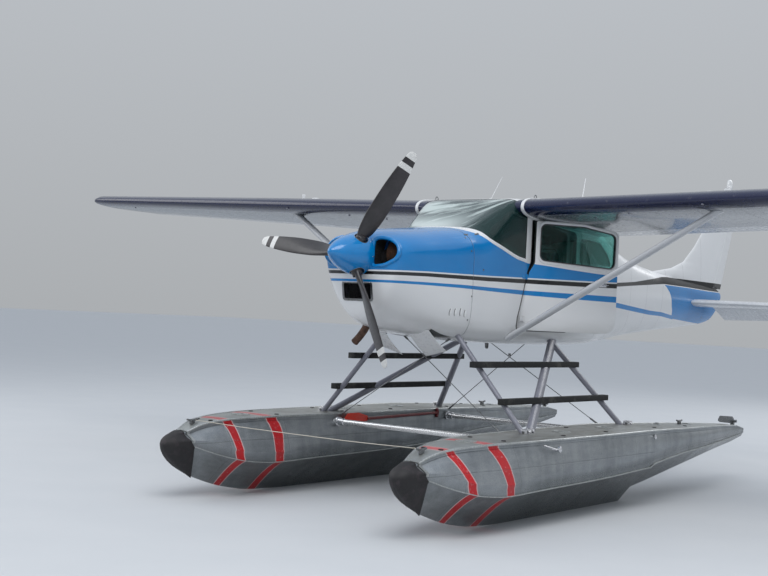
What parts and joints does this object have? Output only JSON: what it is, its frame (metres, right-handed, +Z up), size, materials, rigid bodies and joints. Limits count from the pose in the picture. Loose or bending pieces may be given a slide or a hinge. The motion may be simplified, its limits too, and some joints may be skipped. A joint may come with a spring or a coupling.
{
  "type": "high-wing floatplane",
  "caption": "High-wing single-engine light aircraft on twin floats, with strut-braced wings, tapered tail, hinged cabin doors and a constant-speed propeller.",
  "frame": {"origin": "on the floor below the middle of the bounding box, at the level of the floats' keels", "axes": "+X to port along the span, +Y aft towards the tail, +Z up; the propeller points along -Y"},
  "size_m": [10.954, 9.26, 3.6463],
  "materials": {
    "paint_white": "gloss paint",
    "paint_livery": "gloss paint",
    "paint_grey": "satin paint",
    "float_metal": "weathered bare metal",
    "bright_metal": "polished",
    "blade_metal": "satin paint",
    "engine_metal": "dull",
    "exhaust_metal": "rusted",
    "glass": "clear",
    "panel_plastic": "matte",
    "seat_fabric": "woven",
    "board_dark": "grip coating",
    "bumper_rubber": "matte",
    "paddle_orange": "satin"
  },
  "bodies": {
    "airframe": {"cabin_shell": "paint_livery", "tail_cone": "paint_livery", "cowling": "paint_livery", "windshield": "glass", "rear_window": "glass", "quarter_window_port": "glass", "quarter_window_starboard": "glass", "engine_block": "engine_metal", "exhaust_pipe": "exhaust_metal", "cowl_flap_port": "paint_white", "cowl_flap_starboard": "paint_white", "instrument_panel": "panel_plastic", "front_seat_port": "seat_fabric", "front_seat_starboard": "seat_fabric", "rear_seat": "seat_fabric", "wing_port": "paint_white", "wing_starboard": "paint_white", "wing_strut_port": "paint_grey", "wing_strut_starboard": "paint_grey", "fin": "paint_livery", "fin_dome": "paint_white", "stabilizer_port": "paint_white", "stabilizer_starboard": "paint_white", "float_port": "float_metal", "float_starboard": "float_metal", "bow_bumper_port": "bumper_rubber", "bow_bumper_starboard": "bumper_rubber", "front_float_strut_port": "paint_grey", "front_float_strut_starboard": "paint_grey", "rear_float_strut_port": "paint_grey", "rear_float_strut_starboard": "paint_grey", "diagonal_float_strut_port": "paint_grey", "diagonal_float_strut_starboard": "paint_grey", "upper_step_port": "board_dark", "upper_step_starboard": "board_dark", "lower_step_port": "board_dark", "lower_step_starboard": "board_dark", "front_spreader": "bright_metal", "rear_spreader": "bright_metal", "front_brace_wires": "bright_metal", "rear_brace_wires": "bright_metal", "water_rudder_port": "float_metal", "water_rudder_starboard": "float_metal", "paddle": "paddle_orange"},
    "propeller": {"spinner": "paint_livery", "blade_1": "blade_metal", "blade_2": "blade_metal", "blade_3": "blade_metal"},
    "port_door": {"door_port": "paint_livery", "door_window_port": "glass"},
    "starboard_door": {"door_starboard": "paint_livery", "door_window_starboard": "glass"},
    "port_flap": {"flap_port": "paint_white"},
    "starboard_flap": {"flap_starboard": "paint_white"},
    "port_aileron": {"aileron_port": "paint_white"},
    "starboard_aileron": {"aileron_starboard": "paint_white"},
    "elevator_body": {"elevator": "paint_white"},
    "rudder_body": {"rudder": "paint_livery"}
  },
  "joints": [
    {"name": "propeller_spin", "type": "hinge", "parent": "airframe", "child": "propeller", "pos_m": [0, -3.72, 2.12], "axis": [0, 1, 0], "continuous": true},
    {"name": "port_door_hinge", "type": "hinge", "parent": "airframe", "child": "port_door", "pos_m": [0.578, -1.83, 2.12], "axis": [0, 0, -1], "range_deg": [-36, 44]},
    {"name": "starboard_door_hinge", "type": "hinge", "parent": "airframe", "child": "starboard_door", "pos_m": [-0.578, -1.83, 2.12], "axis": [0, 0, 1], "range_deg": [0, 80]},
    {"name": "port_flap_hinge", "type": "hinge", "parent": "airframe", "child": "port_flap", "pos_m": [0.64, -0.76088, 2.58289], "axis": [-0.9993, -0.0061, -0.0364], "range_deg": [0, 38]},
    {"name": "starboard_flap_hinge", "type": "hinge", "parent": "airframe", "child": "starboard_flap", "pos_m": [-0.64, -0.76088, 2.58289], "axis": [-0.9993, 0.0061, 0.0364], "range_deg": [0, 38]},
    {"name": "port_aileron_hinge", "type": "hinge", "parent": "airframe", "child": "port_aileron", "pos_m": [2.6, -0.74894, 2.65424], "axis": [0.9938, -0.1021, 0.044], "range_deg": [-17, 17]},
    {"name": "starboard_aileron_hinge", "type": "hinge", "parent": "airframe", "child": "starboard_aileron", "pos_m": [-2.6, -0.74894, 2.65424], "axis": [0.9938, 0.1021, -0.044], "range_deg": [-17, 17]},
    {"name": "elevator_hinge", "type": "hinge", "parent": "airframe", "child": "elevator_body", "pos_m": [0, 3.43, 1.97], "axis": [1, 0, 0], "range_deg": [0, 48]},
    {"name": "rudder_hinge", "type": "hinge", "parent": "airframe", "child": "rudder_body", "pos_m": [0, 3.90821, 2.52], "axis": [0, 0.4804, 0.877], "range_deg": [-24, 24]}
  ],
  "couplings": [
    {"joint": "starboard_aileron_hinge", "follows": "port_aileron_hinge", "ratio": -1},
    {"joint": "starboard_flap_hinge", "follows": "port_flap_hinge", "ratio": 1}
  ]
}
